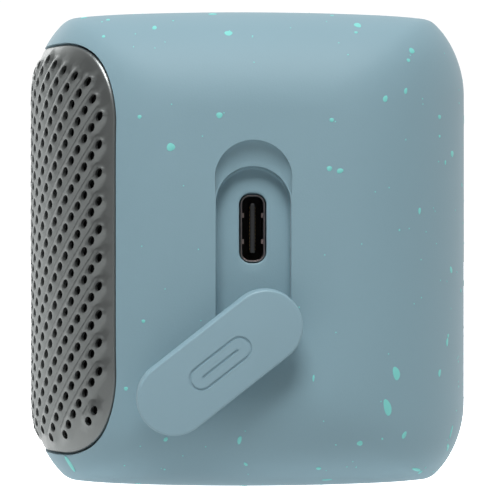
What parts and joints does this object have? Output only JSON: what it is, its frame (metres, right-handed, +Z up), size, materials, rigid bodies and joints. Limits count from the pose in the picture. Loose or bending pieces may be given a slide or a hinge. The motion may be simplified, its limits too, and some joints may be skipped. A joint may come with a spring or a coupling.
{
  "type": "portable bluetooth speaker",
  "caption": "Oblong speckled blue-grey speaker, perforated metal front wrapped round both ends, port pocket in one end with its silicone cover swivelled aside.",
  "frame": {"origin": "on the surface the feet rest on, under the middle of the whole box, the pulled-out port cover included, so the case's own middle is at x = -2.5 mm", "axes": "+X along the speaker to the end with the port, -Y the way the grille faces, +Z up"},
  "size_m": [0.1917, 0.0602, 0.0657],
  "materials": {
    "case": "soft touch, matte, turquoise flecks",
    "grille": "satin pressed sheet",
    "cloth": "acoustic cloth",
    "black_plastic": "moulded",
    "foam": "closed-cell foam",
    "steel": "plated",
    "magnet": "plated magnet and yoke",
    "cone": "pressed cone",
    "piston": "anodised",
    "rubber": "moulded",
    "cell": "film-wrapped cell",
    "board": "solder mask",
    "light": "frosted",
    "button": "soft touch",
    "foot": "matte",
    "shell": "plated receptacle shell",
    "tongue": "moulded",
    "flap": "silicone, matte"
  },
  "bodies": {
    "case": {"main_housing": "case", "front_grille": "grille", "grille_cloth": "cloth", "front_baffle": "black_plastic", "baffle_gasket": "foam", "battery_holder": "black_plastic", "main_circuit_board": "board", "bluetooth_shield": "steel", "button_board": "board", "usb_board": "board", "usb_c_shell": "shell", "usb_c_tongue": "tongue", "usb_gasket": "foam", "front_foot": "foot", "rear_foot": "foot", "light_pipe": "light", "passive_radiator_frame": "black_plastic", "passive_radiator_surround": "rubber", "left_battery_cell": "cell", "right_battery_cell": "cell", "left_driver_basket": "black_plastic", "left_driver_magnet": "magnet", "left_driver_surround": "rubber", "right_driver_basket": "black_plastic", "right_driver_magnet": "magnet", "right_driver_surround": "rubber", "power_switch": "steel", "bluetooth_switch": "steel", "volume_down_switch": "steel", "play_switch": "steel", "volume_up_switch": "steel", "baffle_screw_1": "steel", "baffle_screw_2": "steel", "baffle_screw_3": "steel", "baffle_screw_4": "steel", "baffle_screw_5": "steel", "baffle_screw_6": "steel"},
    "power_button": {"power_button": "button"},
    "bluetooth_button": {"bluetooth_button": "button"},
    "volume_down_button": {"volume_down_button": "button"},
    "play_button": {"play_button": "button"},
    "volume_up_button": {"volume_up_button": "button"},
    "left_driver_cone": {"left_driver_cone": "cone"},
    "right_driver_cone": {"right_driver_cone": "cone"},
    "passive_radiator_piston": {"passive_radiator_piston": "piston"},
    "port_flap": {"port_flap": "flap"}
  },
  "joints": [
    {"name": "power_press", "type": "slide", "parent": "case", "child": "power_button", "axis": [0, 0, -1], "range_m": [0, 0.0005], "stiffness_N_per_m": 600},
    {"name": "bluetooth_press", "type": "slide", "parent": "case", "child": "bluetooth_button", "axis": [0, 0, -1], "range_m": [0, 0.0005], "stiffness_N_per_m": 600},
    {"name": "volume_down_press", "type": "slide", "parent": "case", "child": "volume_down_button", "axis": [0, 0, -1], "range_m": [0, 0.0005], "stiffness_N_per_m": 600},
    {"name": "play_press", "type": "slide", "parent": "case", "child": "play_button", "axis": [0, 0, -1], "range_m": [0, 0.0005], "stiffness_N_per_m": 600},
    {"name": "volume_up_press", "type": "slide", "parent": "case", "child": "volume_up_button", "axis": [0, 0, -1], "range_m": [0, 0.0005], "stiffness_N_per_m": 600},
    {"name": "left_cone_travel", "type": "slide", "parent": "case", "child": "left_driver_cone", "axis": [0, -1, 0], "range_m": [-0.0015, 0.0015], "stiffness_N_per_m": 1000},
    {"name": "right_cone_travel", "type": "slide", "parent": "case", "child": "right_driver_cone", "axis": [0, -1, 0], "range_m": [-0.0015, 0.0015], "stiffness_N_per_m": 1000},
    {"name": "radiator_travel", "type": "slide", "parent": "case", "child": "passive_radiator_piston", "axis": [0, -1, 0], "range_m": [-0.0025, 0.0025], "stiffness_N_per_m": 500},
    {"name": "flap_swivel", "type": "hinge", "parent": "case", "child": "port_flap", "pos_m": [0.0935, 0.00123, 0.02284], "axis": [0.9952, 0.0878, -0.0425], "range_deg": [-128.3, 51.7]}
  ]
}
